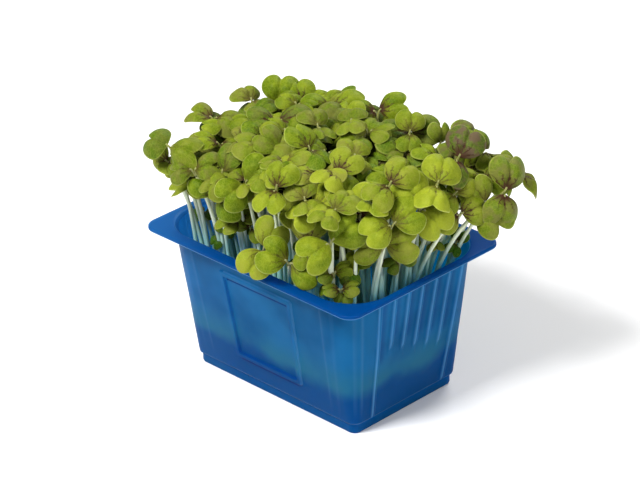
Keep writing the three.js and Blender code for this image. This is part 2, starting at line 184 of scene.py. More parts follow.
# The points of one corner, from the short wall's last point to the long wall's first one.
def corner_run(outline, y_start, x_end):
    half_x, half_y, corner = outline
    straight_y = half_y - corner
    straight_x = half_x - corner
    turn_start = math.asin(min(max(y_start - straight_y, 0) / corner, 1))
    turn_end = math.acos(min(max(x_end - straight_x, 0) / corner, 1))
    first = max(straight_y - y_start, 0)
    bend = corner * (turn_end - turn_start)
    last = max(straight_x - x_end, 0)
    run = np.linspace(0, first + bend + last, corner_points + 2)[1:-1]
    turn = np.clip(turn_start + (run - first) / corner, turn_start, turn_end)
    xs = straight_x + corner * np.cos(turn) - np.clip(run - first - bend, 0, None)
    ys = straight_y + corner * np.sin(turn) - np.clip(first - run, 0, None)
    return np.stack([xs, ys, np.cos(turn), np.sin(turn)], axis=1)


def fan_share(z):
    return 1 - (1 - rib_fan) * np.clip((rib_top - z) / (rib_top - ledge_height), 0, 1)


# Half a ring: a short wall, a corner, a long wall and the next corner. The other half is the same,
# turned by half a turn about the tray's upright axis.
def ring_of(outline, z):
    span = short_wall_span * fan_share(z)
    short = short_wall_points(outline, across_short * fan_share(z))
    corner = corner_run(outline, span, long_wall_span)
    long = np.stack([across_long, np.full_like(across_long, outline[1]),
                     np.zeros_like(across_long), np.ones_like(across_long)], axis=1)
    mirrored = corner[::-1] * np.array([-1, 1, -1, 1])
    half = np.concatenate([short, corner, long, mirrored])
    return np.concatenate([half, -half])


# One value for each point of a ring, from those of a short wall, a corner and a long wall.
def round_the_ring(on_short_wall, on_corner, on_long_wall):
    return np.tile(np.concatenate([on_short_wall, on_corner, on_long_wall, on_corner[::-1]]), 2)


# Which wall each point is on, its place across the ribs, and how far round a corner it is, or -1
# away from the corners.
no_short, no_corner, no_long = (np.zeros(count) for count in
                                (len(across_short), corner_points, len(across_long)))
on_short = round_the_ring(no_short + 1, no_corner, no_long) > 0
on_long = round_the_ring(no_short, no_corner, no_long + 1) > 0
rib_line = round_the_ring(across_short, no_corner, no_long)
corner_share = round_the_ring(no_short - 1, np.linspace(0, 1, corner_points), no_long - 1)


def ease(value, low, high):
    share = np.clip((value - low) / (high - low), 0, 1)
    return share * share * (3 - 2 * share)


# A soft bell curve: 1 on a line, and 0 a few widths off it.
def bell(off, width):
    return np.exp(-(off / width) ** 2)


# How far each rib of the short wall runs down. The first and last ones reach the ledge.
rib_ends = first_rib_end - rib_end_step * (np.arange(rib_count) - 1)
rib_ends[[0, -1]] = ledge_height + 0.8


# How far the short wall stands out: shallow flutes with round tops, and a rib between each two.
def short_wall_relief(z):
    relief = np.zeros(len(rib_line))
    scale = fan_share(z)
    for i in range(rib_count - 1):
        off = np.abs(rib_line - rib_lines[i] - rib_pitch / 2) * scale
        half = (rib_pitch / 2 - 0.5) * scale
        arch = rib_top - 0.6 - half * 0.7 + 0.7 * np.sqrt(np.clip(half ** 2 - off ** 2, 0, None))
        end = (rib_ends[max(i, 1)] + rib_ends[min(i + 1, rib_count - 2)]) / 2
        inside = ease(half - off, 0, 0.8) * ease(arch - z, 0, 0.6) * ease(z, end - 5, end + 1)
        relief -= flute_depth * inside
    for rib, end in zip(rib_lines, rib_ends):
        off = np.abs(rib_line - rib) * scale
        height = ease(z, end - 2.5, end + 1.5) * ease(rib_top + 0.4 - z, 0, 0.8)
        relief += rib_proud * height * ease(rib_half_width - off, 0, 0.45)
    return np.where(on_short, relief, 0)


# How far a point of the long wall is from the frame's middle line, less than 0 inside it.
def panel_away(xs, z):
    share = (z - panel_bottom) / (panel_top - panel_bottom)
    beside = np.abs(xs) - panel_half_bottom - (panel_half_top - panel_half_bottom) * share
    above_panel = max(z - panel_top, panel_bottom - z)
    return np.where((beside > 0) & (above_panel > 0), np.hypot(beside, above_panel),
                    np.maximum(beside, above_panel))


# How far the long wall stands out: a crisp raised band round a plain panel.
def long_wall_relief(xs, z):
    away = panel_away(xs, z)
    band = ease(panel_band / 2 + 0.12 - np.abs(away), 0, 0.3)
    inside = ease(-away, panel_band / 2, panel_band / 2 + 0.3)
    return np.where(on_long, panel_proud * band - panel_sunk * inside, 0)


# Upright creases where the sheet was drawn round each corner: how far round, and how deep.
creases = ((0.13, 0.22), (0.22, 0.16), (0.5, 0.1), (0.66, 0.16))
crease_width = 0.016


def corner_crease(z):
    crease = sum(depth * bell(corner_share - place, crease_width) for place, depth in creases)
    return np.where(corner_share >= 0, crease, 0) * ease(z, ledge_height + 1, 16) * ease(under_rim - z, 0, 4)


def slow_wave(points, z):
    return 0.09 * np.sin(points[:, 0] * 0.11 + z * 0.13) * np.sin(points[:, 1] * 0.16 - z * 0.07 + 1.3)


# Painted light along the ribs: a painted highlight on each rib's bends, where they would catch the light, and
# painted shade in the flute beside each rib.
def rib_painted_light(z):
    scale = fan_share(z)
    below_top = ease(rib_top + 0.2 - z, 0, 0.6)
    painted_light = np.zeros(len(rib_line))
    flute_shade = np.zeros(len(rib_line))
    for rib, end in zip(rib_lines, rib_ends):
        off = (rib_line - rib) * scale
        bend = 0.9 * bell(off + 0.5, 0.17) + 0.35 * bell(off - 0.5, 0.17)
        painted_light = np.maximum(painted_light, bend * ease(z, end - 1.5, end + 0.5) * below_top)
        if rib < rib_lines[-1]:
            flute_end = max(end, rib_ends[-2]) + 1
            beside_rib = ease(off, 1.0, 1.9) * (1 - ease(off, 2.2, 4.6))
            flute_shade = np.maximum(flute_shade, beside_rib * below_top * ease(z, flute_end, flute_end + 4))
    return np.where(on_short, painted_light - 0.5 * flute_shade, 0)


# Painted light round the panel: a painted highlight on the frame's outer bends on one side, and painted shade
# on its inner bends. The frame's top and bottom bars each get a painted shadow line below them.
def panel_painted_light(ring, z):
    xs = ring[:, 0]
    away = panel_away(xs, z)
    outer_edge = bell(away - panel_band / 2, 0.2)
    inner_edge = bell(away + panel_band / 2, 0.26)
    on_left = xs * ring[:, 1] > 0
    painted_light = np.where(on_left, -0.25 * outer_edge - 0.6 * inner_edge, 0.45 * outer_edge - 0.8 * inner_edge)
    if z > panel_top - 2.5:
        under_bar = 0.4 * outer_edge - 1.4 * bell(away + 1.9, 0.34)
        painted_light = np.where(np.abs(xs) < panel_half_top - 1.2, under_bar, painted_light)
    elif z < panel_bottom + 1.5:
        under_bar = -1.4 * bell(away - 1.85, 0.34) - inner_edge
        painted_light = np.where(np.abs(xs) < panel_half_bottom - 0.8, under_bar, painted_light)
    return np.where(on_long, painted_light, 0)


# One ring's points, and the painted light at each: 1 on a painted highlight line, -1 on a painted shade line.
# The ribs, the frame and the corner creases carry these lines. The sheet's outside has all of its relief, and
# its inside a little less.
def tray_ring(outline, z, relief_share=0.0, painted_light=0.0, shrink=1.0):
    ring = ring_of(outline, z)
    ring[:, :2] *= shrink
    pale = np.full(len(ring), painted_light)
    if relief_share == 1.0:
        pale = rib_painted_light(z) + panel_painted_light(ring, z) + 1.1 * corner_crease(z)
    if relief_share:
        relief = (short_wall_relief(z) + long_wall_relief(ring[:, 0], z)
                  + corner_crease(z) + slow_wave(ring, z))
        ring[:, :2] += ring[:, 2:] * (relief * relief_share)[:, None]
    return np.stack([ring[:, 0], ring[:, 1], np.full(len(ring), z)], axis=1), pale


wall_heights = np.concatenate([
    np.linspace(4.6, 9.6, 6), np.linspace(10.1, 14.0, 14), np.linspace(14.8, 42.0, 23),
    np.linspace(42.3, 46.2, 14), np.linspace(46.6, 51.4, 13)])
inner_heights = np.linspace(51.2, 5.6, 26)
hollow_under_foot = ((0.5, 0.08), (0.5, 0.35), (0.5, 0.6), (0.5, 0.8), (0.5, 0.87), (0.35, 0.9),
                     (0.05, 0.92), (0.0, 0.935))
lip_edge = tray_height - lip_drop
lip_inside = inset(rim, lip_thickness)
wall_end = wall_outline(51.8)

# The sheet's section, from the middle of the floor's underside up the outside, over the rim and down the
# inside: outline, height, and where needed relief, painted light and shrink. The foot's step, the lip's lower
# edge and the mouth's edge carry painted highlight lines.
profile = [(foot, z, 0, 0, shrink) for z, shrink in hollow_under_foot]
profile += [(inset(foot, 0.8), 0.0), (inset(foot, 0.25), 0.2), (foot, 0.7), (foot, 2.0),
            (foot, 3.4), (inset(foot, -0.1), 3.75), (inset(wall_foot, 0.45), 3.95, 0, 0.5),
            (inset(wall_foot, 0.1), 4.1, 0, 0.5)]
profile += [(wall_outline(z), z, 1.0) for z in wall_heights]
profile += [(inset(wall_end, -0.15), 51.75), (inset(wall_top, -0.5), 51.95),
            (inset(lip_inside, 0.4), 52.0), (inset(lip_inside, 0.05), 51.95),
            (lip_inside, lip_edge + 0.15), (inset(rim, lip_thickness * 0.8), lip_edge),
            (inset(rim, lip_thickness * 0.25), lip_edge, 0, 1.0), (rim, lip_edge + 0.2, 0, 1.0),
            (rim, lip_edge + 0.45), (rim, 52.5), (inset(rim, 0.08), 52.75),
            (inset(rim, 0.25), 52.93), (inset(rim, 0.55), 53.0)]
flange_start = inset(rim, 0.9)
flange_end = inset(mouth, -0.9)
for share in np.linspace(0, 1, 5):
    profile.append((tuple(a + (b - a) * share for a, b in zip(flange_start, flange_end)), 52.98))
inside_start = len(profile) + 1
profile += [(inset(mouth, -0.45), 52.93), (inset(mouth, -0.1), 52.7, 0, 0.35),
            (inset(mouth, 0.15), 52.3), (inset(wall_end, sheet), 51.8)]
profile += [(inset(wall_outline(z), sheet), z, 0.7) for z in inner_heights]
profile += [(inset(wall_foot, sheet), 4.7), (inset(foot, sheet), 4.3),
            (inset(foot, sheet), 1.7), (inset(foot, sheet + 0.3), 1.1),
            (inset(foot, sheet + 0.9), 0.95)]
profile += [(foot, 1.0, 0, 0, shrink) for shrink in (0.85, 0.6, 0.35, 0.08)]


# The first and last rings are closed with one face each, turned so that the outside faces out.
def closed_sheet(rings):
    count = len(rings[0])
    points = np.concatenate(rings)
    start = np.arange(len(rings) - 1)[:, None] * count
    here = start + np.arange(count)[None, :]
    beside = start + (np.arange(count)[None, :] + 1) % count
    quads = np.stack([here, beside, beside + count, here + count], axis=2).reshape(-1, 4)
    caps = [list(range(count))[::-1], list(range(len(points) - count, len(points)))]
    return points, quads.tolist() + caps


def add_piece(name, points, faces):
    mesh = bpy.data.meshes.new(name)
    mesh.from_pydata([tuple(p) for p in points], [], faces)
    mesh.shade_smooth()
    mesh.update()
    piece = put_in_scene(name, mesh)
    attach(piece, "root")
    return piece


# Keeps a number, or three, on each of a piece's points, for its finish to read.
def keep_on_points(piece, name, values):
    kind, slot = ("FLOAT", "value") if values.ndim == 1 else ("FLOAT_VECTOR", "vector")
    marks = piece.data.attributes.new(name, kind, "POINT").data
    marks.foreach_set(slot, values.astype(np.float32).ravel())


tray_rings = [tray_ring(*station) for station in profile]
tray_points, tray_faces = closed_sheet([ring for ring, _ in tray_rings])
tub = add_piece("tray_tub", tray_points * MM, tray_faces)
# Keeps the painted highlight and shade lines on the tub's points.
keep_on_points(tub, "painted_light", np.concatenate([pale for _, pale in tray_rings]))
keep_on_points(tub, "inside", np.repeat(np.arange(len(profile)) >= inside_start, len(rib_line)))
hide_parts("tray")


# A finish is one material: its shader, and the nodes that vary its colour, gloss and relief.
class Finish:
    def __init__(self, name, settings):
        self.material = bpy.data.materials.new(name)
        self.material.use_nodes = True
        self.nodes = self.material.node_tree.nodes
        self.shader = self.nodes["Principled BSDF"]
        self.fill(self.shader, settings)

    # Sets each of these inputs to its value, or joins it to the output that is given for it.
    def fill(self, node, values):
        for name, value in values.items():
            if isinstance(value, bpy.types.NodeSocket):
                self.material.node_tree.links.new(value, node.inputs[name])
            else:
                node.inputs[name].default_value = value

    def node(self, kind, values):
        node = self.nodes.new("ShaderNode" + kind)
        self.fill(node, values)
        return node

    def place(self):
        return self.node("TexCoord", {}).outputs["Object"]

    def stretched_place(self, scale):
        return self.node("Mapping", {"Vector": self.place(), "Scale": scale}).outputs["Vector"]

    def parts(self, vector):
        return self.node("SeparateXYZ", {0: vector}).outputs

    # What a piece keeps on its points under this name.
    def kept(self, name, output="Fac"):
        node = self.node("Attribute", {})
        node.attribute_name = name
        return node.outputs[output]

    def maths(self, operation, *values, clamp=False):
        node = self.node("Math", dict(enumerate(values)))
        node.operation = operation
        node.use_clamp = clamp
        return node.outputs[0]

    def product(self, first, *others):
        for other in others:
            first = self.maths("MULTIPLY", first, other)
        return first

    # A share of 0 to 1 turned into an amount of this width with 0 in its middle.
    def centred(self, share, width):
        return self.product(self.maths("SUBTRACT", share, 0.5), width)

    def blend(self, share, first, second):
        node = self.node("Mix", {})
        node.data_type = "RGBA"
        self.fill(node, {0: share, 6: first, 7: second})
        return node.outputs[2]

    # Eases from 0 at one value to the most at the other.
    def eased(self, value, start, end, most=1.0):
        node = self.node("MapRange", {"Value": value, "From Min": start, "From Max": end, "To Max": most})
        node.interpolation_type = "SMOOTHSTEP"
        return node.outputs["Result"]

    def ranged(self, share, low, high):
        return self.node("MapRange", {"Value": share, "To Min": low, "To Max": high}).outputs["Result"]

    def noise(self, place, scale, detail, distortion=0.0):
        return self.node("TexNoise", {"Vector": place, "Scale": scale, "Detail": detail,
                                      "Distortion": distortion}).outputs["Fac"]

    def ramp(self, share, *stops):
        node = self.node("ValToRGB", {"Fac": share})
        elements = node.color_ramp.elements
        elements[0].position = stops[0][0]
        elements[1].position = stops[-1][0]
        for place, _ in stops[1:-1]:
            elements.new(place)
        for element, (_, colour) in zip(elements, stops):
            element.color = colour
        return node.outputs["Color"]

    def relief(self, height, strength, distance):
        bump = self.node("Bump", {"Height": height, "Strength": strength, "Distance": distance})
        self.fill(self.shader, {"Normal": bump.outputs["Normal"]})


# The plastic is cloudy. It is darkest where the wet pad lies behind it, greener just above that, where roots
# and stem bases press against it, and a deeper blue on the flange. It has painted light towards one end,
# which is a little paler, and painted shade on its inside, which is greener where the leaves shade it.
# Painted highlight lines and painted shade lines run along it too.
plastic = Finish("see_through_blue_plastic",
                 {"Transmission Weight": 0.5, "IOR": 1.25, "Specular IOR Level": 0.07})
place = plastic.place()
here_x, _, here_z = plastic.parts(place)
cloud = plastic.noise(place, 42.0, 3.0)
cloudy = plastic.eased(cloud, 0.36, 0.64)
wavy_z = plastic.maths("ADD", here_z, plastic.centred(cloud, 16 * MM))
painted_light = plastic.kept("painted_light")
roots_behind = plastic.product(plastic.eased(wavy_z, 31 * MM, 20 * MM), cloudy, 0.5)
wet_pad_behind = plastic.eased(wavy_z, 20.5 * MM, 14.5 * MM)
on_flange = plastic.eased(here_z, 51.2 * MM, 51.7 * MM)
on_foot = plastic.eased(here_z, 4.4 * MM, 3.6 * MM)
# Painted light: the wall is paler towards one end.
painted_light_at_end = plastic.product(plastic.eased(here_x, -12 * MM, -44 * MM), 0.3)
# Painted shade: the inside is greener where the leaves shade it.
under_leaves = plastic.product(plastic.eased(here_x, -45 * MM, 20 * MM), plastic.kept("inside"), 0.75)
# Painted highlight lines and painted shade lines, from the painted light kept on the tub.
painted_highlight_lines = plastic.maths("MULTIPLY", painted_light, 1.0, clamp=True)
painted_shade_lines = plastic.maths("MULTIPLY", painted_light, -1.0, clamp=True)
wall_colour = plastic.blend(cloudy, (0.005, 0.20, 0.51, 1), (0.02, 0.295, 0.66, 1))
for share, colour in ((roots_behind, (0.05, 0.33, 0.42, 1)), (wet_pad_behind, (0.0, 0.15, 0.50, 1)),
                      (on_flange, (0.0, 0.12, 0.39, 1)), (on_foot, (0.0, 0.19, 0.60, 1)),
                      (painted_light_at_end, (0.09, 0.34, 0.62, 1)), (under_leaves, (0.0, 0.32, 0.36, 1)),
                      (painted_highlight_lines, (0.23, 0.64, 1.0, 1)), (painted_shade_lines, (0.0, 0.085, 0.40, 1))):
    wall_colour = plastic.blend(share, wall_colour, colour)
plastic.fill(plastic.shader, {"Base Color": wall_colour, "Roughness": plastic.ranged(cloud, 0.3, 0.4)})
plastic.relief(plastic.noise(place, 900.0, 2.0), 0.12, 0.2 * MM)
glow = plastic.node("BsdfTranslucent", {"Color": wall_colour})
through = plastic.node("MixShader", {0: 0.5, 1: plastic.shader.outputs["BSDF"], 2: glow.outputs["BSDF"]})
plastic.fill(plastic.nodes["Material Output"], {"Surface": through.outputs["Shader"]})
tub.data.materials.append(plastic.material)


# --- Growing pad -------------------------------------------------------------------------------
# A block of moist dark plant fibre, cut to lie on the tray's floor. Its top is rough, with loose
# fibres lying over it, and the seedlings' roots have grown into it.

pad_top = 17.0
pad_bottom = 1.2
pad_clearance = 0.5
pad_corner_steps = 18
pad_side_steps = (56, 36)


def fibre_roughness(x, y):
    return (0.32 * math.sin(x * 1.7 + 1.1 * math.sin(y * 0.9)) * math.sin(y * 1.9 + 0.7)
            + 0.22 * math.sin(x * 4.1 - y * 3.3) + 0.18 * math.sin(x * 2.3 + y * 5.7 + 1.9))


# One ring round the pad: each corner's arc, and then the side that follows it.
def pad_ring(outline, z, rough):
    half_x, half_y, corner = outline

    def on_arc(quarter, quarters_turned):
        sx, sy = ((1, 1), (-1, 1), (-1, -1), (1, -1))[quarter % 4]
        turn = quarters_turned * math.pi / 2
        return np.array([sx * (half_x - corner) + corner * math.cos(turn),
                         sy * (half_y - corner) + corner * math.sin(turn)])

    points = []
    for quarter in range(4):
        points += [on_arc(quarter, quarter + step / pad_corner_steps) for step in range(pad_corner_steps)]
        first = on_arc(quarter, quarter + 1)
        last = on_arc(quarter + 1, quarter + 1)
        count = pad_side_steps[quarter % 2]
        points += [first + (last - first) * (step / count) for step in range(count)]
    ring = []
    for x, y in points:
        in_out = 1 - rough * 0.008 * (1 + math.sin(x * 3.1 + z * 2.7) * math.sin(y * 2.9 - z * 1.7))
        ring.append((x * in_out, y * in_out, z + rough * fibre_roughness(x, y)))
    return np.array(ring)


# It is smooth where it was cut to stand in the foot, rougher up its sides and roughest on top.
pad_inset = sheet + pad_clearance
pad_profile = [pad_ring(inset(foot, pad_inset), z, 0)
               for z in np.linspace(pad_bottom, ledge_height + sheet - 0.2, 4)]
pad_profile += [pad_ring(inset(wall_outline(z), pad_inset), z, 0.55)
                for z in np.linspace(ledge_height + 2 * sheet + 0.2, pad_top - 0.5, 12)]
pad_edge = inset(wall_outline(pad_top), pad_inset)
pad_profile += [pad_ring([size * share for size in pad_edge], pad_top - 0.25, 0.75)
                for share in (0.985, 0.95, 0.9, 0.84, 0.77, 0.7, 0.62,
                              0.54, 0.46, 0.38, 0.3, 0.22, 0.14, 0.06)]
pad_points, pad_faces = closed_sheet(pad_profile)


# A thin round strand through a run of points, narrower towards its ends, with both ends closed.
def strand(path, radii, sides):
    path = [Vector(p) for p in path]
    rings = []
    side = None
    for i, point in enumerate(path):
        ahead = (path[min(i + 1, len(path) - 1)] - path[max(i - 1, 0)]).normalized()
        if side is None:
            side = ahead.orthogonal().normalized()
        side = (side - ahead * side.dot(ahead)).normalized()
        other = ahead.cross(side)
        rings.append(np.array([
            point + (side * math.cos(t) + other * math.sin(t)) * radii[i]
            for t in (2 * math.pi * k / sides for k in range(sides))]))
    return closed_sheet(rings)


def joined(parts):
    starts = np.cumsum([0] + [len(points) for points, _ in parts]).tolist()
    faces = [[i + start for i in face]
             for start, (_, part_faces) in zip(starts, parts) for face in part_faces]
    return np.concatenate([points for points, _ in parts]), faces


# Loose fibres lie over the top, each a short bent strand.
fibre_count = 240
fibre_step = 0.9
fibre_radii = (0.05, 0.13, 0.16, 0.15, 0.12, 0.05)
fibre_dice = random.Random(31)
pad_parts = [(pad_points, pad_faces)]
for _ in range(fibre_count):
    x = fibre_dice.uniform(-0.9, 0.9) * (pad_edge[0] - 2)
    y = fibre_dice.uniform(-0.9, 0.9) * (pad_edge[1] - 2)
    heading = fibre_dice.uniform(0, 2 * math.pi)
    bend = fibre_dice.uniform(-0.5, 0.5)
    path = []
    for _ in fibre_radii:
        path.append((x, y, pad_top - 0.1 + fibre_dice.uniform(-0.1, 0.45)))
        x += fibre_step * math.cos(heading)
        y += fibre_step * math.sin(heading)
        heading += bend
    pad_parts.append(strand(path, fibre_radii, 5))
pad_points, pad_faces = joined(pad_parts)
pad = add_piece("fibre_pad", pad_points * MM, pad_faces)
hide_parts("growing_pad")

dark_fibre = Finish("dark_fibre", {"Roughness": 0.92})
shreds = dark_fibre.noise(dark_fibre.stretched_place((1.0, 3.5, 2.0)), 420.0, 6.0, distortion=1.2)
browns = dark_fibre.ramp(shreds, (0.32, (0.012, 0.008, 0.005, 1)), (0.72, (0.16, 0.105, 0.055, 1)))
dark_fibre.fill(dark_fibre.shader, {"Base Color": browns})
dark_fibre.relief(shreds, 0.8, 0.6 * MM)
pad.data.materials.append(dark_fibre.material)


# --- Seedlings ---------------------------------------------------------------------------------
# Mustard seedlings, sown in a grid of small clumps. Each grew as one piece: roots in the pad, a
# pale juicy stem, and two seed leaves on short stalks, each with two round lobes and a deep notch.

rows = 6
columns = 8
column_pitch = 9.3
row_pitch = 8.0
root_jitter = 0.9
stem_spacing = 0.7
stem_base = 12.0
stem_upright = 0.3
stem_bend = 0.7
stem_reach = 0.22

lobe_radius = 3.9
lobe_offset = 2.4
lobe_centre = 6.3
second_leaf = 0.9
leaf_lift = 0.24

lobe_room = 0.6
leaf_room = 1.2
stem_room = 1.3
close_heads = 46.0
stem_samples = 10
tries = 240

fan_x = 1.16
fan_y = 1.28
head_jitter = 4.0
head_top = 94.5
head_drop = 22.0
edge_drop = 9.0
light_bearing = -44.0
light_swing = 90.0
edge_reach = 0.75
edge_swing = 40.0
least_tilt = 4.0
most_tilt = 28.0
edge_tilt = 14.0
least_size = 0.86
most_size = 1.1
smaller = 0.25

# Seedlings at the edge of the crowd, by their clump's row and column: where the head is, the
# bearing and tilt of the leaf pair's face, its turn in degrees, and its size.
edge_seedlings = {
    (0, 0): [(-37, -32, 85, -80, 40, 0, 1.05), (-42, -29, 76.5, -95, 62, 0, 0.75)],
    (0, 1): [(-26, -32, 80, -70, 40, 20, 0.85), (-18, -29, 73, -60, 55, -30, 1.05)],
    (0, 2): [(-17, -28, 80, -90, 45, 90, 1), (-14, -24, 62, -40, 20, 30, 0.75)],
    (0, 3): [(-6, -28, 80, -50, 60, 40, 1.05), (8, -34, 63, -50, 62, 60, 1.05)],
    (0, 4): [(13, -32, 86, -60, 35, 80, 0.95), (19, -33, 62, -50, 60, -25, 1.1)],
    (0, 5): [(23, -28, 68, -65, 62, 100, 0.95), (23, -25, 80, -60, 30, 50, 0.95)],
    (0, 6): [(34, -29, 73, -44, 55, 35, 1.15), (25, -16, 90, -20, 25, 30, 0.95)],
    (0, 7): [(36, -18, 78, -55, 60, 60, 1.05), (35, -26, 55, -40, 20, 0, 0.6)],
    (1, 7): [(47, -14, 78, -35, 50, 20, 1.05), (43, -14, 69, -45, 68, 5, 1.05)],
    (2, 7): [(49, -2, 80, -40, 65, 125, 1.1), (42, -10, 89, -35, 35, 40, 1)],
    (3, 7): [(51, 3, 87, -20, 35, 55, 1.05), (53, 11, 74, -30, 55, 10, 0.9)],
    (4, 7): [(56, 20, 75, -45, 60, -60, 1.05), (46, 18, 89, -40, 40, 60, 1.05)],
    (5, 7): [(61, 24, 79.5, -25, 65, 70, 1.1), (53, 34, 79.5, 30, 75, 20, 0.8)],
    (5, 6): [(44, 33, 85.5, 20, 35, 60, 0.9), (35.5, 31.5, 85.5, 0, 45, 20, 1)],
    (5, 5): [(18, 25, 87, -40, 35, 0, 1), (30, 27, 85.5, 0, 60, 70, 0.7)],
    (5, 4): [(0, 28, 88, -60, 40, 20, 1), (9, 23, 84, 75, 20, 85, 0.95)],
}

drawn = 20492


def draw():
    global drawn
    drawn = (drawn * 1664525 + 1013904223) & 0xFFFFFFFF
    return drawn / 4294967296


def between(low, high):
    return low + (high - low) * draw()


# The points of a smooth bent line that leaves its start towards one point and comes from another.
def bent_line(start, towards, coming_from, end, shares):
    t = np.asarray(shares)[:, None]
    return ((1 - t) ** 3 * start + 3 * (1 - t) ** 2 * t * towards
            + 3 * (1 - t) * t * t * coming_from + t ** 3 * end)


# A stem's line from its root to its head: upright at first, then bent out to where the head is.
def stem_line(root, head, shares):
    low_bend = root + (head - root) * np.array([0, 0, stem_upright])
    high_bend = root + (head - root) * np.array([stem_reach, stem_reach, stem_bend])
    return bent_line(root, low_bend, high_bend, head, shares)


def seedling(root, x, y, z, bearing, tilt, turn, size):
    face, tip, spin = math.radians(bearing), math.radians(tilt), math.radians(turn)
    normal = np.array([math.sin(tip) * math.cos(face), math.sin(tip) * math.sin(face), math.cos(tip)])
    across = np.array([-math.sin(face), math.cos(face), 0.0])
    slope = np.cross(normal, across)
    spread = across * math.cos(spin) + slope * math.sin(spin)
    head = np.array([x, y, z], float)
    leaves = []
    for way in (1, -1):
        along = spread * way * math.cos(leaf_lift) + normal * math.sin(leaf_lift)
        side = np.cross(normal, spread) * way
        leaves.append({"along": along, "side": side, "up": np.cross(along, side),
                       "size": size if way > 0 else size * second_leaf})
    lobes = [(leaf, off) for leaf in leaves for off in (-lobe_offset, lobe_offset)]
    return {
        "root": root, "head": head, "leaves": leaves,
        "centres": np.array([head + (leaf["along"] * lobe_centre + leaf["side"] * off) * leaf["size"]
                             for leaf, off in lobes]),
        "faces": np.array([leaf["up"] for leaf, _ in lobes]),
        "radii": np.array([lobe_radius * leaf["size"] for leaf, _ in lobes]),
        "stem": stem_line(root, head, np.linspace(0, 1, stem_samples + 1)),
    }


# Whether any of these stems passes through any of these lobes.
def stems_cross(stems, centres, faces, radii):
    off = stems[:, None, :, :] - centres[None, :, None, :]
    rise = np.einsum("slpk,lk->slp", off, faces)
    low, high = rise[:, :, :-1], rise[:, :, 1:]
    passes = low * high < 0
    share = np.where(passes, low / np.where(passes, low - high, 1), 0)[..., None]
    met = off[:, :, :-1] + (off[:, :, 1:] - off[:, :, :-1]) * share
    return bool(np.any(passes & (np.linalg.norm(met, axis=3) < radii[None, :, None] + stem_room)))


def has_room(plant, standing):
    near = [other for other in standing if np.linalg.norm(other["head"] - plant["head"]) <= close_heads]
    if not near:
        return True
    centres, faces, radii = (np.concatenate([other[key] for other in near])
                             for key in ("centres", "faces", "radii"))
    gap = centres[None] - plant["centres"][:, None]
    both = radii[None] + plant["radii"][:, None]
    slant = np.sqrt(np.clip(1 - (plant["faces"] @ faces.T) ** 2, 0, None))
    from_mine = np.abs(np.einsum("ijk,ik->ij", gap, plant["faces"]))
    from_other = np.abs(np.einsum("ijk,jk->ij", gap, faces))
    lobes_cross = ((np.linalg.norm(gap, axis=2) <= both + lobe_room)
                   & (from_mine < radii[None] * slant + leaf_room)
                   & (from_other < plant["radii"][:, None] * slant + leaf_room))
    return not (np.any(lobes_cross)
                or stems_cross(np.array([other["stem"] for other in near]),
                               plant["centres"], plant["faces"], plant["radii"])
                or stems_cross(plant["stem"][None], centres, faces, radii))


def clears_tray(plant):
    for centre, face, radius in zip(plant["centres"], plant["faces"], plant["radii"]):
        low = centre[2] - radius * math.sqrt(1 - face[2] * face[2])
        inside = abs(centre[0]) + radius < wall_foot[0] and abs(centre[1]) + radius < wall_foot[1]
        if not inside and low <= tray_height + leaf_room:
            return False
    return True


def ruled_head(root_x, root_y, wander):
    jitter = head_jitter * (1 + wander)
    x = root_x * fan_x + between(-jitter, jitter)
    y = root_y * fan_y + between(-jitter, jitter)
    reach = math.hypot(root_x / wall_foot[0], root_y / wall_foot[1])
    z = head_top - between(0, head_drop * (1 + wander)) - edge_drop * reach * reach
    outward = math.degrees(math.atan2(root_y, root_x))
    on_light_side = math.cos(math.radians(outward - light_bearing)) > 0
    if reach > edge_reach and on_light_side:
        bearing = outward + between(-edge_swing, edge_swing)
    else:
        bearing = light_bearing + between(-light_swing, light_swing)
    tilt = between(least_tilt, most_tilt) + (edge_tilt * reach if on_light_side else 0)
    turn = between(0, 180)
    return x, y, z, bearing, tilt, turn, between(least_size, most_size) * (1 - smaller * wander)


clumps = []
for row in range(rows):
    for column in range(columns):
        clump_x = (column - (columns - 1) / 2) * column_pitch + between(-root_jitter, root_jitter)
        clump_y = (row - (rows - 1) / 2) * row_pitch + between(-root_jitter, root_jitter)
        clumps.append({"x": clump_x, "y": clump_y, "heads": edge_seedlings.get((row, column)),
                       "seedlings": []})


def root_of(clump, way):
    return np.array([clump["x"] + way * stem_spacing, clump["y"], stem_base])


standing = []
for clump in clumps:
    if clump["heads"]:
        ways = (-1, 1) if clump["heads"][0][0] < clump["heads"][1][0] else (1, -1)
        for way, head in zip(ways, clump["heads"]):
            clump["seedlings"].append(seedling(root_of(clump, way), *head))
        standing += clump["seedlings"]
for way in (-1, 1):
    for clump in clumps:
        if clump["heads"]:
            continue
        for i in range(tries):
            plant = seedling(root_of(clump, way), *ruled_head(clump["x"], clump["y"], i / tries))
            if clears_tray(plant) and has_room(plant, standing):
                clump["seedlings"].append(plant)
                standing.append(plant)
                break

# Later seedlings came up between the clumps. Each one's head is put where most room is left.
late_count = 112
late_tries = 26
late_root_jitter = (4.0, 3.4)
late_wander = 0.35
late_top = head_top - 2.0
late_drop = 24.0
late_edge_hold = 0.55
late_tilt_share = 0.6
late_reach = (38.0, 27.0)
# At the front corner they stay above the low leaves, so the bare stems show there.
corner_right_of = 18.0
corner_in_front_of = -9.0
corner_height = 83.0


def room_left(plant, centres):
    return np.linalg.norm(centres[None] - plant["centres"][:, None], axis=2).min()


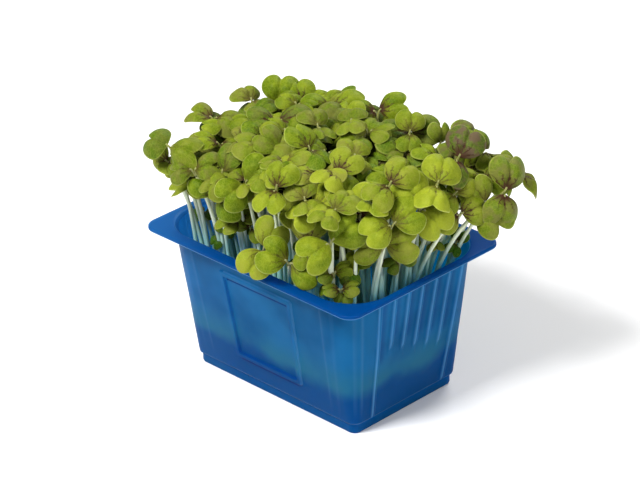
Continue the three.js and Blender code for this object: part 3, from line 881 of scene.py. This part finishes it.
def late_seedling():
    clump = clumps[int(between(0, len(clumps)))]
    root_x = clump["x"] + between(-late_root_jitter[0], late_root_jitter[0])
    root_y = clump["y"] + between(-late_root_jitter[1], late_root_jitter[1])
    x, y, _, bearing, tilt, turn, size = ruled_head(root_x, root_y, late_wander)
    reach = math.hypot(root_x / wall_foot[0], root_y / wall_foot[1])
    x = min(max(x, -late_reach[0]), late_reach[0])
    y = min(max(y, -late_reach[1]), late_reach[1])
    z = (late_top - between(0, late_drop) * (1 - late_edge_hold * min(reach, 1))
         - edge_drop * reach ** 2)
    if x > corner_right_of and y < corner_in_front_of:
        z = max(z, corner_height)
    root = np.array([root_x, root_y, stem_base])
    return seedling(root, x, y, z, bearing, tilt * late_tilt_share, turn, size)


late_seedlings = []
for _ in range(late_count):
    centres = np.concatenate([other["centres"] for other in standing])
    best, most_room = None, -1.0
    for _ in range(late_tries):
        plant = late_seedling()
        room = room_left(plant, centres)
        if room > most_room and clears_tray(plant):
            best, most_room = plant, room
    late_seedlings.append(best)
    standing.append(best)

# A few more that grew out under the leaves at the far end of the tray, the tallest ones, which
# stand above the rest at the far side, and small ones that stayed low against the wall.
far_heads = [
    (55.5, 37, 80, 50, 45, 90, 0.95), (48, 33, 79, 100, 45, 20, 0.8), (51, 24, 81, -30, 45, 0, 0.85),
    (44, 26, 80, -40, 35, 60, 0.9), (50, 12, 80, -20, 50, 30, 0.8)]
high_heads = [
    (-30.6, 11.4, 86.2, -44, 45, 80, 1.05), (-24.8, 16.4, 86.2, -50, 40, 100, 0.95),
    (-12.5, 19.1, 88, -40, 42, 0, 1.1), (-14.2, -4.4, 91.5, -48, 30, 5, 1.1),
    (-38.7, -10.5, 87, -70, 12, 0, 1)]
low_heads = [
    (30, -24, 58.5, -50, 35, 20, 0.6), (35, -23.5, 54, -45, 50, 70, 0.55), (27, -24.5, 54, -70, 40, 110, 0.5),
    (-21, -20.5, 57, -60, 30, 0, 0.6), (-24, -22.5, 52, -80, 50, 60, 0.5), (-37, -18, 55, -100, 35, 30, 0.5),
    (41, 22, 55, -20, 40, 45, 0.55), (38, 14, 58, -40, 30, 100, 0.5), (-10, -22, 60, -50, 30, 140, 0.6),
    (12, -22, 57, -60, 40, 80, 0.55), (40, -4, 58, -30, 40, 20, 0.55)]


# Each of them is rooted a share of the way out to its head, and no further out than these places.
def rooted(heads, share, furthest_x=math.inf, furthest_y=math.inf):
    placed = []
    for x, y, *rest in heads:
        root = np.array([min(x * share, furthest_x), min(y * share, furthest_y), stem_base])
        placed.append(seedling(root, x, y, *rest))
    return placed


far_seedlings = rooted(far_heads, 0.6, 33.0, 20.0)
high_seedlings = rooted(high_heads, 0.85)
low_seedlings = rooted(low_heads, 0.88)

leaf_blade_thickness = 0.34
leaf_base = 0.55
leaf_middle = 5.2
vein_gap = 0.5
blade_growth = 1.0
second_blade_growth = 1.03
angle_count = 46
ring_shares = (0.16, 0.34, 0.51, 0.66, 0.79, 0.89, 0.965, 1.0)
leaf_turns = np.linspace(-1, 1, angle_count, endpoint=False)
leaf_turns = math.pi * np.sign(leaf_turns) * np.abs(leaf_turns) ** 1.15

# A leaf's edge on one side: the turn from the tip's notch to the stalk, and how far from the
# leaf's middle the edge is there. It rounds one lobe and comes back broadly to the stalk.
edge_turns = np.radians([0, 9, 18, 30, 45, 62, 80, 98, 115, 135, 155, 170, 180])
edge_reaches = np.array([2.8, 3.7, 4.75, 5.6, 6.1, 6.35, 6.35, 6.1, 5.6, 5.05, 4.7, 4.6, 4.65])


def leaf_reach(turns, notch):
    reaches = edge_reaches - notch * bell(edge_turns, 0.32)
    slopes = np.gradient(reaches, edge_turns)
    slopes[0] = slopes[-1] = 0
    off = np.abs(turns)
    k = np.clip(np.searchsorted(edge_turns, off, side="right") - 1, 0, len(edge_turns) - 2)
    step = edge_turns[k + 1] - edge_turns[k]
    t = (off - edge_turns[k]) / step
    return ((2 * t ** 3 - 3 * t ** 2 + 1) * reaches[k] + (t ** 3 - 2 * t ** 2 + t) * step * slopes[k]
            + (3 * t ** 2 - 2 * t ** 3) * reaches[k + 1] + (t ** 3 - t ** 2) * step * slopes[k + 1])


# One seed leaf as a closed thin blade: domed lobes that hang a little to each side, a furrow
# along the middle, soft puckers between the main veins, and an edge that is rounded all round.
def leaf_blade(plant, leaf, growth, curled, dice):
    dome = dice.uniform(0.8, 2.0)
    hang = dice.triangular(0.3, 4.0, 2.0) + 2.8 * curled
    curl = dice.uniform(0.4, 3.2) + 1.8 * curled
    furrow = dice.uniform(0.5, 1.1)
    twist = dice.uniform(-0.05, 0.05)
    wave_start = dice.uniform(0, 2 * math.pi)
    skew = dice.uniform(-0.07, 0.07)
    reach = leaf_reach(leaf_turns, dice.uniform(-0.9, 0.9)) * dice.uniform(0.96, 1.05)
    reach *= 1 + 0.022 * np.sin(leaf_turns * 3 + wave_start) + skew * np.sin(leaf_turns)
    share = np.concatenate([[0.0], np.repeat(ring_shares, angle_count)])
    turns = np.concatenate([[0.0], np.tile(leaf_turns, len(ring_shares))])
    out = np.concatenate([[0.0], np.tile(reach, len(ring_shares))]) * share
    along = leaf_middle + out * np.cos(turns)
    side = out * np.sin(turns)

    to_lobe = np.hypot(along - lobe_centre + 0.6, np.abs(side) - 2.0) / 4.5
    rise = dome * (0.6 - to_lobe ** 2) - hang * (side / 6.3) ** 2
    rise -= furrow * bell(side, 0.85) * np.clip((along - 0.6) / 3, 0, 1)
    rise -= curl * (np.clip(along - 5.0, 0, None) / 5.0) ** 2 + twist * side * (along - 5)
    from_base = np.hypot(along - leaf_base, side)
    heading = np.arctan2(side, along - leaf_base)
    rise += 0.14 * np.cos(heading * 2 * math.pi / vein_gap) * bell(from_base - 4.5, 3)
    rise += 0.2 * share ** 4 * np.sin(turns * 5 + wave_start)
    rise *= np.clip((from_base + 0.8) / 3.0, 0, 1)
    half = leaf_blade_thickness / 2 * np.sqrt(np.clip(1 - share ** 6, 0, 1))

    size = leaf["size"] * growth
    surface = (plant["head"] + leaf["along"] * (along * size)[:, None]
               + leaf["side"] * (side * size)[:, None] + leaf["up"] * (rise * size)[:, None])
    upper = surface + leaf["up"] * half[:, None]
    lower = surface - leaf["up"] * half[:, None]
    inner = len(surface) - angle_count
    points = np.concatenate([upper, lower[:inner]])
    places = np.stack([along, side, share], axis=1)
    places = np.concatenate([places, places[:inner]])
    under = np.concatenate([np.zeros(len(upper)), np.ones(inner)])

    def lower_index(i):
        return i if i >= inner else i + len(upper)
    faces = []
    for k in range(angle_count):
        after = (k + 1) % angle_count
        faces.append([0, 1 + k, 1 + after])
        faces.append([lower_index(0), lower_index(1 + after), lower_index(1 + k)])
        for ring in range(len(ring_shares) - 1):
            a = 1 + ring * angle_count + k
            b = 1 + ring * angle_count + after
            quad = [a, a + angle_count, b + angle_count, b]
            faces.append(quad)
            faces.append([lower_index(i) for i in reversed(quad)])
    return points, faces, places, under


# The stem ends a little below the head and forks into the two leaf stalks.
fork_share = 0.95
stem_shares = np.linspace(0, fork_share, 16)
stem_sides = 10
stem_radii = (0.64, 0.9)
stem_taper = 0.28


def leaf_stalk(plant, leaf, growth, fork, fork_way):
    size = leaf["size"] * growth
    blade_start = plant["head"] + (leaf["along"] * (leaf_base + 0.9) - leaf["up"] * 0.25) * size
    first = fork + fork_way * 1.6 + leaf["along"] * 0.5
    second = blade_start - leaf["along"] * 1.2 * size
    path = bent_line(fork - fork_way * 0.4, first, second, blade_start, np.linspace(0, 1, 7))
    return strand(path, np.linspace(0.48, 0.3, 7), 8)


# A tiny bud between the stalks, where the first true leaves will come.
def bud(fork, fork_way):
    path = [fork + fork_way * d for d in (0.0, 0.5, 0.95, 1.3, 1.5)]
    return strand(path, [0.3, 0.42, 0.4, 0.26, 0.08], 8)


# The plug of roots and fibre that a clump stands in, with a low rough mound round its stems: how
# wide it is at each height.
plug_profile = ((1.2, 9.6), (1.75, 10.4), (1.85, 13.0), (1.9, 16.2), (1.7, 17.0), (1.1, 17.45), (0.4, 17.6))
plug_sides = 14


def root_plug(x, y, dice):
    rings = []
    for radius, z in plug_profile:
        ring = []
        for k in range(plug_sides):
            turn = 2 * math.pi * k / plug_sides
            rough = radius * (1 + dice.uniform(-0.07, 0.07))
            ring.append((x + rough * math.cos(turn), y + rough * math.sin(turn),
                         z + dice.uniform(-0.06, 0.06)))
        rings.append(np.array(ring))
    return closed_sheet(rings)


# Leaf skin: yellow-green with a paler edge, fine nets of veins, and dark purple veins that
# spread from the stalk on some leaves. The underside is greener and duller.
vein_wobble = 0.7
tone_wobble = 0.8

leaf_skin = Finish("seed_leaf_skin", {
    "Specular IOR Level": 0.07, "Subsurface Weight": 0.3, "Subsurface Radius": (0.9, 1.0, 0.25),
    "Subsurface Scale": 0.6 * MM})
leaf_place = leaf_skin.kept("leaf_place", "Vector")
along_leaf, across_leaf, edge_share = leaf_skin.parts(leaf_place)
tone, vein_strength, purple = leaf_skin.parts(leaf_skin.kept("leaf_look", "Vector"))
mottle = leaf_skin.noise(leaf_skin.place(), 300.0, 4.0)

from_stalk = leaf_skin.maths("SUBTRACT", along_leaf, leaf_base)
vein_angle = leaf_skin.maths("ADD", leaf_skin.maths("ARCTAN2", across_leaf, from_stalk),
                             leaf_skin.centred(leaf_skin.noise(leaf_place, 0.8, 2.0), vein_wobble))
vein_run = leaf_skin.maths("SQRT", leaf_skin.maths(
    "ADD", leaf_skin.product(from_stalk, from_stalk), leaf_skin.product(across_leaf, across_leaf)))
off_vein = leaf_skin.product(leaf_skin.maths("PINGPONG", vein_angle, vein_gap / 2), vein_run)
main_vein = leaf_skin.eased(off_vein, 0.29, 0.09)
net = leaf_skin.node("TexVoronoi", {"Vector": leaf_place, "Scale": 1.05})
net.feature = "DISTANCE_TO_EDGE"
fine_vein = leaf_skin.eased(net.outputs["Distance"], 0.09, 0.01)

greens = leaf_skin.ramp(
    leaf_skin.maths("ADD", tone, leaf_skin.centred(mottle, tone_wobble), clamp=True),
    (0.0, (0.014, 0.072, 0.0005, 1)), (0.5, (0.103, 0.152, 0.003, 1)), (1.0, (0.245, 0.285, 0.016, 1)))
pale_edge = leaf_skin.eased(edge_share, 0.93, 1.0, most=0.55)
blotch = leaf_skin.product(leaf_skin.eased(mottle, 0.42, 0.58), 0.75)
browned = leaf_skin.maths("MULTIPLY", purple, leaf_skin.maths("ADD", blotch, 0.2), clamp=True)
near_stalk = leaf_skin.product(main_vein, leaf_skin.eased(vein_run, 7.4, 2.4))
dark_vein = leaf_skin.maths("MULTIPLY", near_stalk, vein_strength, clamp=True)
smudge = leaf_skin.product(leaf_skin.eased(vein_run, 5.0, 0.2), leaf_skin.eased(mottle, 0.30, 0.50))
dark_heart = leaf_skin.maths("MAXIMUM", dark_vein, leaf_skin.product(smudge, vein_strength, 0.95))
blade = greens
for share, colour in ((pale_edge, (0.44, 0.49, 0.10, 1)),
                      (leaf_skin.product(fine_vein, 0.22), (0.31, 0.37, 0.04, 1)),
                      (browned, (0.105, 0.070, 0.042, 1)), (dark_heart, (0.045, 0.020, 0.009, 1))):
    blade = leaf_skin.blend(share, blade, colour)
under_green = leaf_skin.blend(0.55, blade, (0.075, 0.19, 0.008, 1))
blade = leaf_skin.blend(leaf_skin.kept("underside"), blade, under_green)
leaf_skin.fill(leaf_skin.shader, {"Base Color": blade, "Roughness": leaf_skin.ranged(mottle, 0.42, 0.62)})
sunk_veins = leaf_skin.maths("ADD", leaf_skin.product(main_vein, -0.8), leaf_skin.product(fine_vein, -0.35))
leaf_skin.relief(leaf_skin.maths("ADD", sunk_veins, leaf_skin.product(mottle, 1.2)), 0.45, 0.22 * MM)

# Stem skin: pale, almost white in the middle and greener towards the leaves. Low down, up to about the rim,
# it is painted teal as light that comes through the blue tub.
stem_skin = Finish("pale_stem_skin", {
    "Roughness": 0.38, "Subsurface Weight": 0.5, "Subsurface Radius": (1.0, 1.0, 0.8),
    "Subsurface Scale": 1.5 * MM})
streaks = stem_skin.noise(stem_skin.stretched_place((1.0, 1.0, 0.12)), 1300.0, 3.0)
stem_height = stem_skin.parts(stem_skin.place())["Z"]
# Painted light: teal low on the stems, as light that comes through the blue tub.
teal_light_from_tray = stem_skin.blend(streaks, (0.17, 0.43, 0.36, 1), (0.42, 0.67, 0.56, 1))
pale = stem_skin.blend(streaks, (0.58, 0.66, 0.46, 1), (0.78, 0.83, 0.66, 1))
greenish = stem_skin.blend(streaks, (0.30, 0.40, 0.10, 1), (0.46, 0.54, 0.19, 1))
olive = stem_skin.blend(streaks, (0.12, 0.10, 0.025, 1), (0.26, 0.28, 0.06, 1))
stem_colour = stem_skin.blend(stem_skin.eased(stem_height, 44 * MM, 62 * MM), teal_light_from_tray, pale)
stem_colour = stem_skin.blend(stem_skin.eased(stem_height, 60 * MM, 88 * MM), stem_colour, greenish)
stem_colour = stem_skin.blend(stem_skin.kept("tender"), stem_colour, olive)
stem_skin.fill(stem_skin.shader, {"Base Color": stem_colour})
stem_skin.relief(streaks, 0.3, 0.2 * MM)

# Seedlings whose leaves are browned with purple, and ones with curled leaves, by their piece and
# their place in it.
purple_plants = {("seedlings_40", 1): 1.0, ("seedlings_47", 1): 0.7, ("seedlings_48", 0): 0.5,
                 ("seedlings_40", 0): 0.35, ("seedlings_46", 0): 0.3, ("seedlings_01", 0): 0.2}
curled_plants = {("seedlings_48", 0): 0.8, ("far_seedlings", 0): 1.0, ("far_seedlings", 1): 0.8,
                 ("seedlings_01", 0): 0.7, ("seedlings_47", 1): 0.5}

# Where leaves are lighter, towards the light; where they stand free at the right and the front,
# above the rim; and how far down the shade of the others deepens.
towards_light = (20, 34)
free_at_right = (18, 28)
free_at_front = (-6, -16)
above_rim = (57, 61)
deeper_shade = (85, 73)

leaf_tones = (0.39, 0.77)
tone_between_leaves = 0.13
vein_strengths = (0.25, 0.7, 1.0, 1.25)
brown_shares = (0, 0, 0.1, 0.2, 0.3, 0.4)


def share_of(value, start_end):
    return min(max((value - start_end[0]) / (start_end[1] - start_end[0]), 0), 1)


# How light a seedling's leaves are, how dark their veins are, and how far they are browned. The tone carries
# painted light, lighter towards the light, and painted shade, darker deeper under the others. That painted
# shade also dims the veins.
def look_of(plant, key, in_shade, dice):
    x, y, z = plant["head"]
    tone = dice.uniform(*leaf_tones) + 0.2 * share_of((x - y) * 0.707, towards_light)
    free = max(share_of(x, free_at_right), share_of(y, free_at_front)) * share_of(z, above_rim)
    shade = in_shade * (1 - free)
    veins = dice.choice(vein_strengths) * (1 - 0.6 * shade)
    browned = purple_plants.get(key, dice.choice(brown_shares))
    return tone - shade * share_of(z, deeper_shade), veins, browned


stem_index, leaf_index, plug_index = 0, 1, 2


# A piece made of its seedlings and plugs, with each leaf's own look kept on its points.
def grown_piece(name, plants, dice, plugs=(), in_shade=0.0):
    parts, kinds, marks = [], [], []

    def take(part, kind, tender=0.0, look=(0.5, 0, 0), places=0, under=0):
        count = len(part[0])
        parts.append(part)
        kinds.extend([kind] * len(part[1]))
        marks.append([np.broadcast_to(places, (count, 3)), np.broadcast_to(look, (count, 3)),
                      np.broadcast_to(under, count), np.broadcast_to(tender, count)])

    for x, y in plugs:
        take(root_plug(x, y, dice), plug_index)
    for number, plant in enumerate(plants):
        path = stem_line(plant["root"], plant["head"], stem_shares)
        fork = path[-1]
        fork_way = (fork - path[-2]) / np.linalg.norm(fork - path[-2])
        girths = dice.uniform(*stem_radii) * (1 - stem_taper * stem_shares ** 1.5)
        take(strand(path, girths, stem_sides), stem_index,
             tender=np.repeat(np.clip((stem_shares - 0.82) / 0.13, 0, 1) * 0.7, stem_sides))
        take(bud(fork, fork_way), stem_index, tender=1.0)
        tone, veins, browned = look_of(plant, (name, number), in_shade, dice)
        curled = curled_plants.get((name, number), 0)
        for leaf, growth in zip(plant["leaves"], (blade_growth, second_blade_growth)):
            take(leaf_stalk(plant, leaf, growth, fork, fork_way), stem_index, tender=0.9)
            points, faces, places, under = leaf_blade(plant, leaf, growth, curled, dice)
            leaf_tone = tone + dice.uniform(-tone_between_leaves, tone_between_leaves)
            take((points, faces), leaf_index, look=(leaf_tone, veins, browned), places=places, under=under)
    points, faces = joined(parts)
    piece = add_piece(name, points * MM, faces)
    for finish in (stem_skin, leaf_skin, dark_fibre):
        piece.data.materials.append(finish.material)
    piece.data.polygons.foreach_set("material_index", kinds)
    for mark, values in zip(("leaf_place", "leaf_look", "underside", "tender"), zip(*marks)):
        keep_on_points(piece, mark, np.concatenate(values))
    return piece


for number, clump in enumerate(clumps, start=1):
    piece = grown_piece(f"seedlings_{number:02d}", clump["seedlings"], random.Random(900 + number),
                        plugs=[(clump["x"], clump["y"])], in_shade=0.0 if clump["heads"] else 0.5)
    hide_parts(f"clump_{number:02d}")
late_pieces = 6
for number in range(late_pieces):
    grown_piece(f"late_seedlings_{number + 1}", late_seedlings[number::late_pieces],
                random.Random(700 + number), in_shade=0.95)
grown_piece("low_seedlings", low_seedlings, random.Random(650), in_shade=0.6)
grown_piece("far_seedlings", far_seedlings, random.Random(652))
grown_piece("high_seedlings", high_seedlings, random.Random(655))
